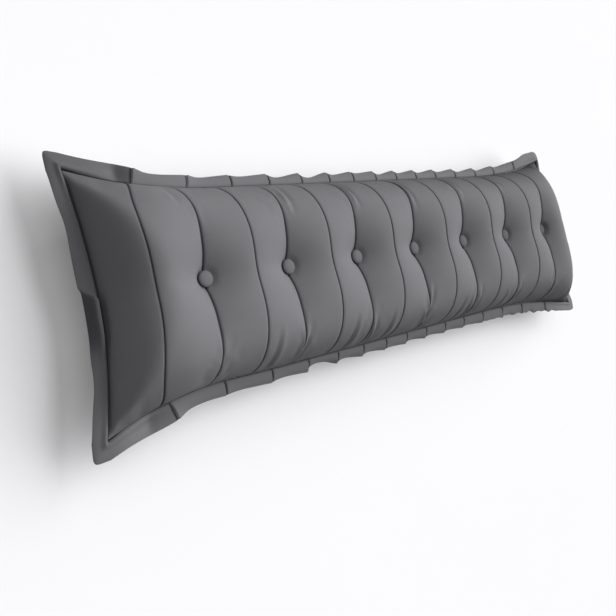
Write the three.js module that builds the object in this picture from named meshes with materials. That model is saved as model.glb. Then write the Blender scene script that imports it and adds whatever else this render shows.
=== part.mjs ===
// A long button-tufted back support pillow, lying on its back with its face up.
// Millimetres, +X along its length, +Y across its height, +Z out of its face.
// The origin is the middle of the flat patch that the back rests on.

import * as THREE from "three";

// Edge seam, where face, back and border are sewn together. It draws in between the corners.
const SEAM_LEVEL = 88; // height above the surface that the pillow lies on
const SEAM_HALF_LENGTH = 748; // at mid height
const SEAM_HALF_HEIGHT = 188; // at mid length, along the bottom edge
const TOP_HALF_HEIGHT = 183.5; // at mid length, along the top edge
const SEAM_RISE = 4.5; // mid height of the seam above the origin, which is midway between the corners
const BOTTOM_DRAW_IN = 2.5; // how much more the bottom edge draws in near its left end
const BOTTOM_DRAW_IN_PLACE = -550;
const BOTTOM_DRAW_IN_REACH = 80;
const EDGE_HALF = 2.5; // half the thickness of the sewn edge
const FLARE_POWER = 2.5;
const END_FLARE_POWER = 8; // how close to the ends the corners are drawn out along X

// Corners: where the edge seam turns, the share of the half length where its flare starts, and how wide the
// border is there on the long side and on the short one. The bottom corners are pulled further out.
const TOP_LEFT = { x: 768, y: 224, flareStart: 0.62, longWidth: 31, shortWidth: 25 };
const TOP_RIGHT = { x: 760, y: 229, flareStart: 0.48, longWidth: 29, shortWidth: 28 };
const BOTTOM_LEFT = { x: 781, y: 231, flareStart: 0.7, longWidth: 36, shortWidth: 30 };
const BOTTOM_RIGHT = { x: 781, y: 226, flareStart: 0.48, longWidth: 31, shortWidth: 30 };

// Crown of the face and of the back, measured from the edge seam
const FACE_CROWN = 113;
const BACK_CROWN = 108; // before the surface presses it flat
const CROWN_FULLNESS = 3.5; // higher is squarer across the height
const TOP_ROUNDING = 0.65; // lower is steeper at the seam
const BOTTOM_ROUNDING = 0.57; // the filling has settled a little towards the bottom edge
const CORNER_FLATNESS = 0.7; // added to both at the left end, whose corners hold little filling
const CORNER_FLAT_REACH = 120;
const LEFT_RUN = 126; // from the edge seam to where the crown is full
const LEFT_RUN_ROUNDING = 0.5; // share of that run that is lost towards the corners
const RIGHT_RUN = 165; // the right end rises more slowly
const RIGHT_RUN_CHANGE = 45; // longer at its top and shorter at its bottom, where the filling has settled
const END_FULLNESS = 3.3;
const END_ROUNDING = 0.8;

// Face strips: seams run across the height at an even pitch, and every second one holds a button. One more
// seam on each side closes the end panel.
const SEAM_PITCH = 96.8;
const LAST_BUTTON_SEAM = 6; // its number, counted from the middle
const OUTER_SEAM_PLACE = 690;
const END_PANEL = SEAM_HALF_LENGTH - OUTER_SEAM_PLACE;
const VALLEY_DEPTH = 17; // how far a buttoned seam lies below a plain one
const VALLEY_FADE_START = 0.35; // share of the half height where a valley begins to run out
const VALLEY_FADE_END = 0.85;
const RIGHT_VALLEY_LOSS = 0.1; // the valleys are a little shallower towards the right end
const RIGHT_VALLEY_PLACE = 600;
const GROOVE_DEPTH = 3.5;
const GROOVE_HALF_WIDTH = 6;
const GROOVE_FADE_POWER = 8; // the grooves run out only at the edge seam

// Covered buttons and how they pull the face down
const BUTTON_COUNT = 7;
const BUTTON_RADIUS = 16.5;
const BUTTON_SEGMENTS = 20;
const BUTTON_RISE = 4; // the row of buttons sits a little above mid height of the seam
const BUTTON_SEAT = 74; // seat level above the edge seam
const SEAT_HALF_WIDTH = 18;
const LINE_TOLERANCE = 0.01; // for a grid line that runs along the edge of a seat
const DIMPLE_DEPTH = 23; // how much deeper a valley is at its button
const DIMPLE_REACH = 32; // along the seam
const DIMPLE_SOFTNESS = 14;
const ROW_DEPTH = 8; // dip of the whole face along the row of buttons
const ROW_REACH = 50;
const ROW_FADE_START = 480; // where that dip starts to run out towards the right end
const ROW_FADE_END = 700;
const PIECE_GAP = 0.4; // between the body and what is sewn on it

// Border strip sewn into the edge seam, with small tucks along the long sides
const BORDER_WIDTH = 30;
const CORNER_REACH = 120; // how far along a long side a corner's own width fades, half as far on a short one
const FIRST_STRETCH_PLACE = -665; // the strip bellies out between each left corner and its first tuck
const FIRST_STRETCH_REACH = 45;
const LEFT_NARROWING = 5; // the left strip is narrower between its middle and its corners
const LEFT_NARROW_PLACE = 0.6;
const LEFT_NARROW_REACH = 0.2;
const BORDER_HALF_THICKNESS = 2.5;
const TUCKS_EACH_SIDE = 7; // on either side of the middle one
const TUCK_PITCH = 75.4; // spacing at mid length
const TUCK_SPREAD = 0.328; // extra spacing, with the cube of the tuck's number
const TUCK_STEP = 1.5; // how far one edge of a tuck lies over the other
const TUCK_EDGE_OFFSETS = [-12, -2, 2, 12]; // along the strip, from the middle of a tuck
const CORNER_DROOP = 4;
const CORNER_TURNS = [0, 0.25, 0.5, 0.75, 1]; // shares of the quarter turn round a corner
const CORNER_SQUARENESS = 5; // 2 is a round corner, higher is squarer

// How far the strip leans towards the back, in degrees. Along the long sides that is at every tuck and
// halfway along each stretch between two of them, from the left corner to the right one, with how far the
// first stretch bellies out. Up the short sides it is at even steps, and there the left one is buckled into
// a ridge near its middle.
const LONG_SIDES = {
  top: { atTucks: 20, belly: 4, between: [4, 20, 30, 30, 36, 42, 32, 27, 42, 34, 36, 32, 38, 28, 14, 2] },
  bottom: { atTucks: 16, belly: 6.5, between: [2, 14, 22, 28, 60, 36, 34, 24, 34, 26, 22, 20, 18, 14, 8, 0] },
};
const SHORT_SIDES = {
  left: { droop: [4, 2, 8, 16, 12, 4, 2, 2], ridge: [0, 0, 9, 9, 1, 0, 0, 0] },
  right: { droop: [4, 6, 10, 14, 14, 8, 6, 4], ridge: [0, 0, 0, 0, 0, 0, 0, 0] },
};

// Lines of the face and back grids: along the length they are measured from each buttoned seam and as
// shares of the end panels, and across the height from the row of buttons and from mid height.
const FLANK_LINES = [34, 60];
const END_PANEL_LINES = [0, 0.1, 0.32, 0.56, 0.78, 0.93, 1];
const LINES_FROM_BUTTONS = [SEAT_HALF_WIDTH, 34, 56, 84];
const LINES_FROM_MIDDLE = [112, 136, 156, 171, 182, SEAM_HALF_HEIGHT];

// Lines along the strip, as shares of a stretch: from a corner to the first tuck, and between tucks
const CORNER_STRETCH_LINES = [0.06, 0.3, 0.6];
const INNER_STRETCH_LINES = [0.33, 0.67];

const CLOTH_COLOUR = 0x6b6b70;
const BUTTON_COLOUR = 0x636368;
const BORDER_COLOUR = 0x68686d;
const CLOTH_ROUGHNESS = 0.55;

/** The corner nearest to shares `s` of the half length and `t` of the half height. */
function nearestCorner(s, t) {
  if (t > 0) return s > 0 ? TOP_RIGHT : TOP_LEFT;
  return s > 0 ? BOTTOM_RIGHT : BOTTOM_LEFT;
}

/** Share of a corner's own value at a distance from it: 1 there, and 0 past its reach. */
function nearCorner(distance, reach) {
  return 1 - THREE.MathUtils.smoothstep(distance, 0, reach);
}

/** A bell curve about a place. */
function bell(value, place, reach) {
  return Math.exp(-(((value - place) / reach) ** 2));
}

/** Half height of the edge seam: drawn in at mid length and flared at the corners. */
function seamHalfHeight(s, t) {
  const corner = nearestCorner(s, t);
  const drawIn = BOTTOM_DRAW_IN * bell(s * SEAM_HALF_LENGTH, BOTTOM_DRAW_IN_PLACE, BOTTOM_DRAW_IN_REACH);
  const waist = t > 0 ? TOP_HALF_HEIGHT : SEAM_HALF_HEIGHT - drawIn;
  const run = Math.max(0, (Math.abs(s) - corner.flareStart) / (1 - corner.flareStart));
  return waist + (corner.y - waist) * run ** FLARE_POWER;
}

/** Plan position of a point of the body, at shares `s` of its half length and `t` of its half height. */
function planPoint(s, t) {
  const corner = nearestCorner(s, t);
  const pull = (corner.x - SEAM_HALF_LENGTH) * t * t * Math.abs(s) ** END_FLARE_POWER;
  return { x: s * SEAM_HALF_LENGTH + Math.sign(s) * pull, y: SEAM_RISE + t * seamHalfHeight(s, t) };
}

/** Share of the crown near an end: it rises steeply from the edge seam and rounds off to the full crown. */
function endShare(s, t) {
  const run = s > 0 ? RIGHT_RUN + RIGHT_RUN_CHANGE * t : LEFT_RUN * (1 - LEFT_RUN_ROUNDING * t * t);
  const inside = Math.min(1, ((1 - Math.abs(s)) * SEAM_HALF_LENGTH) / run);
  return (1 - (1 - inside) ** END_FULLNESS) ** END_ROUNDING;
}

/** Share of the full crown: a squared dome across the height that falls away at the two ends. */
function crownShare(s, t) {
  const flatness = CORNER_FLATNESS * nearCorner((1 + s) * SEAM_HALF_LENGTH, CORNER_FLAT_REACH);
  const rounding = (t > 0 ? TOP_ROUNDING : BOTTOM_ROUNDING) + flatness;
  const across = (1 - Math.abs(t) ** CROWN_FULLNESS) ** rounding;
  return across * endShare(s, t);
}

/** Distance along the length from the nearest of the seams numbered -last, step - last, ... up to last. */
function distanceToSeam(x, last, step) {
  const nearest = step * Math.round((x / SEAM_PITCH + last) / step) - last;
  const held = Math.min(last, Math.max(-last, nearest));
  return Math.abs(x - held * SEAM_PITCH);
}

/** Level of the face: crown, less the valleys, dimples and grooves, with a flat seat under each button. */
function faceLevel(s, t) {
  const x = s * SEAM_HALF_LENGTH;
  const y = t * SEAM_HALF_HEIGHT - BUTTON_RISE;
  const fromButtonSeam = distanceToSeam(x, LAST_BUTTON_SEAM, 2);
  const fromOuterSeam = Math.abs(Math.abs(x) - OUTER_SEAM_PLACE);
  const fromAnySeam = Math.min(fromOuterSeam, distanceToSeam(x, LAST_BUTTON_SEAM, 1));
  const seatReach = SEAT_HALF_WIDTH + LINE_TOLERANCE;
  if (fromButtonSeam <= seatReach && Math.abs(y) <= seatReach) {
    return SEAM_LEVEL + BUTTON_SEAT;
  }
  const share = crownShare(s, t);
  const channel = Math.max(0, 1 - fromButtonSeam / SEAM_PITCH) ** 2;
  const valleyFade = THREE.MathUtils.smoothstep(Math.abs(t), VALLEY_FADE_START, VALLEY_FADE_END);
  const valley = VALLEY_DEPTH * (1 - valleyFade);
  const fromButton = Math.hypot(y, DIMPLE_SOFTNESS) - DIMPLE_SOFTNESS;
  const dimple = DIMPLE_DEPTH * Math.exp(-fromButton / DIMPLE_REACH);
  const rowFade = 1 - THREE.MathUtils.clamp((x - ROW_FADE_START) / (ROW_FADE_END - ROW_FADE_START), 0, 1);
  const row = ROW_DEPTH * bell(y, 0, ROW_REACH) * rowFade;
  const shallower = 1 - RIGHT_VALLEY_LOSS * THREE.MathUtils.clamp(x / RIGHT_VALLEY_PLACE, 0, 1);
  const groove = GROOVE_DEPTH * Math.max(0, 1 - fromAnySeam / GROOVE_HALF_WIDTH);
  const grooveFade = 1 - Math.abs(t) ** GROOVE_FADE_POWER;
  const pulledDown = (valley + dimple) * channel * shallower + row;
  const rise = (FACE_CROWN - EDGE_HALF - pulledDown) * share - groove * grooveFade;
  return SEAM_LEVEL + EDGE_HALF + Math.max(0, rise);
}

/** Level of the plain back: its own crown, pressed flat where it rests on the surface. */
function backLevel(s, t) {
  return Math.max(0, SEAM_LEVEL - EDGE_HALF - BACK_CROWN * crownShare(s, t));
}

/** Grid lines along the length: close together at the seams and the buttons, then to the ends. */
function columnShares() {
  const besideSeam = [GROOVE_HALF_WIDTH, SEAT_HALF_WIDTH, ...FLANK_LINES, SEAM_PITCH - GROOVE_HALF_WIDTH];
  const places = [];
  for (let seam = -LAST_BUTTON_SEAM; seam <= LAST_BUTTON_SEAM; seam += 1) {
    const isButtoned = (seam + LAST_BUTTON_SEAM) % 2 === 0;
    const place = seam * SEAM_PITCH;
    places.push(place);
    if (!isButtoned) continue;
    for (const offset of besideSeam) places.push(place - offset, place + offset);
  }
  const beforeOuterSeam = OUTER_SEAM_PLACE - GROOVE_HALF_WIDTH;
  places.push(beforeOuterSeam, -beforeOuterSeam);
  for (const share of END_PANEL_LINES) {
    const place = OUTER_SEAM_PLACE + END_PANEL * share;
    places.push(place, -place);
  }
  return places.sort((a, b) => a - b).map((place) => place / SEAM_HALF_LENGTH);
}

/** Grid lines across the height: close together at the buttons and near the edge seam. */
function rowShares() {
  const places = [BUTTON_RISE];
  for (const offset of LINES_FROM_BUTTONS) places.push(BUTTON_RISE + offset, BUTTON_RISE - offset);
  for (const place of LINES_FROM_MIDDLE) places.push(place, -place);
  return places.sort((a, b) => a - b).map((place) => place / SEAM_HALF_HEIGHT);
}

/** A closed mesh from its corner points and triangles. */
function solid(name, points, triangles, colour) {
  const geometry = new THREE.BufferGeometry();
  geometry.setAttribute("position", new THREE.Float32BufferAttribute(points.flat(), 3));
  geometry.setIndex(triangles.flat());
  geometry.computeVertexNormals();
  const material = new THREE.MeshStandardMaterial({
    color: colour,
    roughness: CLOTH_ROUGHNESS,
    metalness: 0,
  });
  const mesh = new THREE.Mesh(geometry, material);
  mesh.name = name;
  return mesh;
}

/** The filled body: a face grid and a back grid over the same plan, joined by the sewn edge. */
function pillowBody() {
  const columns = columnShares();
  const rows = rowShares();
  const layer = columns.length * rows.length;
  const points = [];
  for (const level of [faceLevel, backLevel]) {
    for (const t of rows) {
      for (const s of columns) {
        const { x, y } = planPoint(s, t);
        points.push([x, y, level(s, t)]);
      }
    }
  }
  const at = (row, column) => row * columns.length + column;
  const triangles = [];
  for (let row = 0; row + 1 < rows.length; row += 1) {
    for (let column = 0; column + 1 < columns.length; column += 1) {
      const a = at(row, column);
      const b = at(row, column + 1);
      const c = at(row + 1, column + 1);
      const d = at(row + 1, column);
      triangles.push([a, b, c], [a, c, d]);
      triangles.push([a + layer, c + layer, b + layer], [a + layer, d + layer, c + layer]);
    }
  }
  const lastRow = rows.length - 1;
  const lastColumn = columns.length - 1;
  const rim = [];
  for (let column = 0; column < lastColumn; column += 1) rim.push(at(0, column));
  for (let row = 0; row < lastRow; row += 1) rim.push(at(row, lastColumn));
  for (let column = lastColumn; column > 0; column -= 1) rim.push(at(lastRow, column));
  for (let row = lastRow; row > 0; row -= 1) rim.push(at(row, 0));
  rim.forEach((a, place) => {
    const b = rim[(place + 1) % rim.length];
    triangles.push([a, a + layer, b + layer], [a, b + layer, b]);
  });
  return solid("pillow_body", points, triangles, CLOTH_COLOUR);
}

/** Places of the tucks along a long side, from the left. */
function tuckPlaces() {
  const places = [];
  for (let number = -TUCKS_EACH_SIDE; number <= TUCKS_EACH_SIDE; number += 1) {
    places.push(TUCK_PITCH * number + TUCK_SPREAD * number ** 3);
  }
  return places;
}

/** Smooth rise from 0 to 1 and back to 0 along one stretch of the strip. */
function swell(share) {
  return Math.sin(Math.PI * share) ** 2;
}

/** Stations along a long side without its corners: shares of the half length, lean and the tuck's step. */
function longSideStations({ atTucks, between }) {
  const ends = [-SEAM_HALF_LENGTH, ...tuckPlaces(), SEAM_HALF_LENGTH];
  const stations = [];
  between.forEach((droop, stretch) => {
    const from = ends[stretch];
    const to = ends[stretch + 1];
    const startsAtCorner = stretch === 0;
    const endsAtCorner = stretch === between.length - 1;
    let shares = INNER_STRETCH_LINES;
    if (startsAtCorner) shares = CORNER_STRETCH_LINES;
    if (endsAtCorner) shares = CORNER_STRETCH_LINES.map((share) => 1 - share).reverse();
    for (const share of shares) {
      const startDroop = startsAtCorner ? CORNER_DROOP : atTucks;
      const endDroop = endsAtCorner ? CORNER_DROOP : atTucks;
      const base = startDroop + (endDroop - startDroop) * share;
      const lean = base + (droop - (startDroop + endDroop) / 2) * swell(share);
      const place = (from + (to - from) * share) / SEAM_HALF_LENGTH;
      stations.push({ share: place, droop: lean, step: 0, ridge: 0 });
    }
    if (endsAtCorner) return;
    for (const offset of TUCK_EDGE_OFFSETS) {
      const atFold = Math.abs(offset) < BORDER_HALF_THICKNESS;
      const step = atFold ? -Math.sign(offset) * TUCK_STEP : 0;
      stations.push({ share: (to + offset) / SEAM_HALF_LENGTH, droop: atTucks, step, ridge: 0 });
    }
  });
  return stations;
}

/** Value at a share of the way along a short list of values that stand at the middles of even steps. */
function stepValue(values, share) {
  const last = values.length - 1;
  const position = Math.min(last, Math.max(0, share * values.length - 0.5));
  const lower = Math.floor(position);
  const upper = Math.min(last, lower + 1);
  return values[lower] + (values[upper] - values[lower]) * (position - lower);
}

/** Stations up a short side, from the bottom corner to the top one, without its corners. */
function shortSideStations({ droop, ridge }) {
  const stationsPerStep = 2;
  const count = droop.length * stationsPerStep;
  const stations = [];
  for (let place = 1; place < count; place += 1) {
    const share = place / count;
    stations.push({
      share: 2 * share - 1,
      droop: stepValue(droop, share),
      step: 0,
      ridge: stepValue(ridge, share),
    });
  }
  return stations;
}

/** Stations that fan round a corner from its long side to its short side, on a squared quarter turn. */
function cornerStations(right, up) {
  const corner = nearestCorner(right, up);
  return CORNER_TURNS.map((share) => {
    const angle = (Math.PI / 2) * share;
    const outward = [
      right * Math.abs(Math.sin(angle)) ** (2 / CORNER_SQUARENESS),
      up * Math.abs(Math.cos(angle)) ** (2 / CORNER_SQUARENESS),
    ];
    outward[0] *= corner.shortWidth / corner.longWidth;
    const width = corner.longWidth;
    return { ...planPoint(right, up), outward, width, droop: CORNER_DROOP, step: 0, ridge: 0 };
  });
}

/** Width of the strip at a share of a long side, from its left end to its right one. */
function longSideWidth(share, side, belly) {
  const place = share * SEAM_HALF_LENGTH;
  const corner = nearestCorner(share, side);
  const atCorner = nearCorner(SEAM_HALF_LENGTH - Math.abs(place), CORNER_REACH);
  const bellied = belly * bell(place, FIRST_STRETCH_PLACE, FIRST_STRETCH_REACH);
  return BORDER_WIDTH + (corner.longWidth - BORDER_WIDTH) * atCorner + bellied;
}

/** Width of the strip at a share of a short side, from its bottom end to its top one. */
function shortSideWidth(share, side) {
  const corner = nearestCorner(side, share);
  const atCorner = nearCorner((1 - Math.abs(share)) * SEAM_HALF_HEIGHT, CORNER_REACH / 2);
  const narrowing = side < 0 ? LEFT_NARROWING * bell(Math.abs(share), LEFT_NARROW_PLACE, LEFT_NARROW_REACH) : 0;
  return BORDER_WIDTH + (corner.shortWidth - BORDER_WIDTH) * atCorner - narrowing;
}

/** All stations of the strip, anticlockwise from the bottom left corner, with their plan places. */
function borderStations() {
  const along = (station, side, belly) => {
    const width = longSideWidth(station.share, side, belly);
    return { ...station, ...planPoint(station.share, side), outward: [0, side], width };
  };
  const upward = (station, side) => {
    const width = shortSideWidth(station.share, side);
    return { ...station, ...planPoint(side, station.share), outward: [side, 0], width };
  };
  const { top, bottom } = LONG_SIDES;
  return [
    ...longSideStations(bottom).map((station) => along(station, -1, bottom.belly)),
    ...cornerStations(1, -1),
    ...shortSideStations(SHORT_SIDES.right).map((station) => upward(station, 1)),
    ...cornerStations(1, 1).reverse(),
    ...longSideStations(top).map((station) => along(station, 1, top.belly)).reverse(),
    ...cornerStations(-1, 1),
    ...shortSideStations(SHORT_SIDES.left).map((station) => upward(station, -1)).reverse(),
    ...cornerStations(-1, -1).reverse(),
  ];
}

/** One point of the strip's section: it leaves the seam level and bends round an arc to its lean. */
function borderPoint(station, across, side) {
  const leastBend = 0.02;
  const turn = THREE.MathUtils.degToRad(2 * station.droop);
  const bend = Math.abs(turn) < leastBend ? leastBend : turn;
  const angle = bend * across;
  const reach = (station.width * Math.sin(angle)) / bend;
  const drop = (station.width * (1 - Math.cos(angle))) / bend;
  const buckle = station.ridge * Math.sin(Math.PI * across) ** 2;
  const lift = side * BORDER_HALF_THICKNESS + station.step * across + buckle;
  const out = PIECE_GAP + reach + lift * Math.sin(angle);
  return [
    station.x + station.outward[0] * out,
    station.y + station.outward[1] * out,
    SEAM_LEVEL - drop + lift * Math.cos(angle),
  ];
}

/** The border: one strip all round, doubled over to a rounded outer edge. */
function border() {
  const section = [
    { across: 0, side: 1 },
    { across: 0.45, side: 1 },
    { across: 0.9, side: 1 },
    { across: 1, side: 0 },
    { across: 0.9, side: -1 },
    { across: 0.45, side: -1 },
    { across: 0, side: -1 },
  ];
  const stations = borderStations();
  const points = [];
  for (const station of stations) {
    for (const { across, side } of section) points.push(borderPoint(station, across, side));
  }
  const triangles = [];
  stations.forEach((_, place) => {
    const here = place * section.length;
    const next = ((place + 1) % stations.length) * section.length;
    section.forEach((__, corner) => {
      const beside = (corner + 1) % section.length;
      triangles.push([here + corner, here + beside, next + beside]);
      triangles.push([here + corner, next + beside, next + corner]);
    });
  });
  return solid("border", points, triangles, BORDER_COLOUR);
}

/** A cloth-covered button: a flat underside, a rounded rim and a low dome, turned about its axis. */
function coveredButton(number) {
  const profile = [
    { radius: 0, height: 0 },
    { radius: 0.86, height: 0 },
    { radius: 1, height: 0.17 },
    { radius: 0.95, height: 0.34 },
    { radius: 0.74, height: 0.5 },
    { radius: 0.4, height: 0.59 },
    { radius: 0, height: 0.62 },
  ];
  const outline = profile.map(
    ({ radius, height }) => new THREE.Vector2(radius * BUTTON_RADIUS, height * BUTTON_RADIUS),
  );
  const geometry = new THREE.LatheGeometry(outline, BUTTON_SEGMENTS);
  const material = new THREE.MeshStandardMaterial({
    color: BUTTON_COLOUR,
    roughness: CLOTH_ROUGHNESS,
    metalness: 0,
  });
  const button = new THREE.Mesh(geometry, material);
  button.name = `button_${number}`;
  const place = 2 * (number - (BUTTON_COUNT + 1) / 2) * SEAM_PITCH;
  button.position.set(place, SEAM_RISE + BUTTON_RISE, SEAM_LEVEL + BUTTON_SEAT + PIECE_GAP);
  button.rotation.x = Math.PI / 2;
  return button;
}

const pillow = new THREE.Group();
pillow.add(pillowBody(), border());
for (let number = 1; number <= BUTTON_COUNT; number += 1) pillow.add(coveredButton(number));

export default pillow;
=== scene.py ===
"""A long button-tufted back support pillow, lying on its back with its face up.

The frame is in metres: +X runs along the pillow, +Y across its height and +Z out of its face. The pillow
is a filled body with a strip-pieced face, a border strip with tucks sewn into its edge seam, and a row of
cloth-covered buttons.
"""

import math
from collections import namedtuple

import bpy
import numpy as np
from bpy.props import FloatProperty, FloatVectorProperty, IntProperty, PointerProperty
from bpy.types import Operator, Panel, PropertyGroup
from mathutils import Matrix, Vector


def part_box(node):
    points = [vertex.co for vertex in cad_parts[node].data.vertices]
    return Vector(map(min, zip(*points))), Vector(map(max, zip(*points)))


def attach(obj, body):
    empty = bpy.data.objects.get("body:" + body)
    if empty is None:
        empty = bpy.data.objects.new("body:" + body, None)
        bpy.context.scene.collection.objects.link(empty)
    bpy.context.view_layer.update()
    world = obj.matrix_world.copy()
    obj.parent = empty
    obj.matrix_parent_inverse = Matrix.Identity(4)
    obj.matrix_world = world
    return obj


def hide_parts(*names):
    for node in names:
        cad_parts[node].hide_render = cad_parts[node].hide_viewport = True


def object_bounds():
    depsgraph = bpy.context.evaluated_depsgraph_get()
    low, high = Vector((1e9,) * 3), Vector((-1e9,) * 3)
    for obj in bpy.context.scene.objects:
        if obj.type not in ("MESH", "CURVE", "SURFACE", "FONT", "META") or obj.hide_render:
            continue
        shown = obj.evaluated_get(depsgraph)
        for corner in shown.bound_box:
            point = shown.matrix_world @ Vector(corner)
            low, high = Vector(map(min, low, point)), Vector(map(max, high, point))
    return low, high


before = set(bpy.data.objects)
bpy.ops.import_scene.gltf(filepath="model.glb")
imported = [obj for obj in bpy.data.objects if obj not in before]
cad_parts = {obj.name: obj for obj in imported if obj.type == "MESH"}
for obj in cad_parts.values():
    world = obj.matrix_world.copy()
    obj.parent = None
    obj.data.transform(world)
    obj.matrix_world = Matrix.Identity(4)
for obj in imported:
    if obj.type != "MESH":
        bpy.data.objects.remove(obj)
CAD_LOW, CAD_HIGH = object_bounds()

bl_info = {
    "name": "Back support pillow",
    "version": (1, 0, 0),
    "blender": (4, 5, 0),
    "location": "View3D > Sidebar > Pillow",
    "description": "Builds a long button-tufted back support pillow around its solid frame",
    "category": "Add Mesh",
}

MM = 0.001
BODY = "root"
CLOTH_UV = "cloth"
# Mesh attribute that holds the shade painted into the cloth's colour; below nought it is painted light
PAINTED_SHADE = "crease"
TINY = 1e-12
LARGEST_POWER = 60

# Places that come from the frame
BUTTON_NODES = sorted(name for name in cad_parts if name.startswith("button_"))
BUTTON_LOW, BUTTON_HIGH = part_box(BUTTON_NODES[0])
LAST_BUTTON_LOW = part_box(BUTTON_NODES[-1])[0]
LAST_BUTTON_SEAM = len(BUTTON_NODES) - 1
BUTTON_RADIUS = (BUTTON_HIGH.x - BUTTON_LOW.x) / 2
BUTTON_ROW = (BUTTON_HIGH.y + BUTTON_LOW.y) / 2
SEAM_PITCH = (LAST_BUTTON_LOW.x - BUTTON_LOW.x) / (2 * LAST_BUTTON_SEAM)

# Edge seam, where face, back and border are sewn together: it draws in between the corners
SEAM_LEVEL = 88 * MM
SEAM_RISE = 4.5 * MM
SEAM_HALF_LENGTH = 748 * MM
SEAM_HALF_HEIGHT = 188 * MM
TOP_HALF_HEIGHT = 183.5 * MM
BOTTOM_HALF_HEIGHT = 188 * MM
BOTTOM_DRAW_IN = 2.5 * MM
BOTTOM_DRAW_IN_PLACE = -550 * MM
BOTTOM_DRAW_IN_REACH = 80 * MM
FLARE_POWER = 2.5
END_FLARE_POWER = 8

# Corners, by end and side (1 is right and top): where the edge seam turns, measured from its middle, the
# share of the half length where it starts to flare, how wide the border is on the long side and on the short
# one, how it leans in degrees, how high its inner lip is, how square its tip is, how far the tip is drawn
# out both ways, how much painted shade it has and how far along the long side that goes. The border turns
# into these values within a reach along the long side and half of that along the short one.
CORNER_PLACES = 20
CORNER_REACH = 120 * MM
Corner = namedtuple(
    "Corner",
    "x y flare_start long_width short_width lean lip squareness tip_x tip_y shade shade_reach",
    defaults=(0, 0, 0, CORNER_REACH),
)
CORNERS = {
    (-1, 1): Corner(
        x=768 * MM, y=224 * MM, flare_start=0.62, long_width=31 * MM, short_width=25 * MM, lean=4, lip=5 * MM,
        squareness=7, tip_x=1 * MM, tip_y=5 * MM, shade=0.36, shade_reach=220 * MM,
    ),
    (1, 1): Corner(
        x=760 * MM, y=224 * MM, flare_start=0.48, long_width=34 * MM, short_width=28 * MM, lean=4, lip=7 * MM,
        squareness=3,
    ),
    (-1, -1): Corner(
        x=781 * MM, y=231 * MM, flare_start=0.7, long_width=34 * MM, short_width=27 * MM, lean=4, lip=5 * MM,
        squareness=7, tip_x=4 * MM, tip_y=2 * MM, shade=0.22, shade_reach=35 * MM,
    ),
    (1, -1): Corner(
        x=788 * MM, y=230 * MM, flare_start=0.43, long_width=28 * MM, short_width=31 * MM, lean=-6,
        lip=4 * MM, squareness=6,
    ),
}

# Crown of the face and the back, which runs out over a length at each end
CROWN_FULLNESS = 3.5
TOP_ROUNDING = 0.65
BOTTOM_ROUNDING = 0.57
CORNER_FLATNESS = 0.7
CORNER_FLAT_REACH = 120 * MM
LEFT_RUN = 116 * MM
LEFT_RUN_ROUNDING = 0.85
LEFT_RUN_POWER = 1.4
RIGHT_RUN = 165 * MM
RIGHT_RUN_CHANGE = 45 * MM
END_FULLNESS = 3.3
END_ROUNDING = 0.8

# Face strips: every second seam holds a button, the outer strips are wider and the outer left seam is bowed
OUTER_SEAM_PLACE = 690 * MM
INNER_SEAMS = np.arange(-LAST_BUTTON_SEAM, LAST_BUTTON_SEAM + 1) * SEAM_PITCH
SEAMS = np.concatenate([[-OUTER_SEAM_PLACE], INNER_SEAMS, [OUTER_SEAM_PLACE]])
BUTTON_SEAMS = INNER_SEAMS[::2]
STRIP_CROWDING = 0.7
TOP_SEAM_BOW = 36 * MM
BOTTOM_SEAM_BOW = 23 * MM
SEAM_BOW_POWER = 4
SEAM_SWING = 46 * MM
GROOVE_FADE_POWER = 60

# Valleys of the buttoned seams, which are shallower at the right and run out towards the edges, the dip
# along the row of buttons, which ends at the right, and the seats of the buttons
RIGHT_VALLEY_LOSS = 0.1
RIGHT_VALLEY_PLACE = 600 * MM
VALLEY_FADE_START = 0.35
VALLEY_FADE_END = 0.85
ROW_FADE_START = 480 * MM
ROW_FADE_END = 700 * MM
SEAT_POWER = 6

# Painted shade of the face: shadows in its seams, how the share of the painted shade beside the edge
# changes along the top and bottom edges, at the left end, in a slow fade to the right, and a painted shadow
# at the left rim of each button. Shares below nought are painted light.
SEAM_LINE_SHADE = 0.8
SEAM_SHADE = 0.1
SEAM_SHADE_REACH = 4 * MM
TOP_SHADE_PLACES = [-500 * MM, 300 * MM]
TOP_SHADE_SHARES = [0.35, 1.25]
BOTTOM_SHADE_PLACES = [-600 * MM, -350 * MM]
BOTTOM_SHADE_SHARES = [0.55, 1.0]
END_PANEL_REACH = 95 * MM
END_PANEL_TILT = 0.35
SLOW_FADE_PLACES = [-690 * MM, -640 * MM, 700 * MM]
SLOW_FADE_SHADES = [0, -0.09, 0.12]
LIGHTEST = -0.1
BUTTON_RIM_SHADE = 0.6
BUTTON_RIM_REACH = 3 * MM

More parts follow.
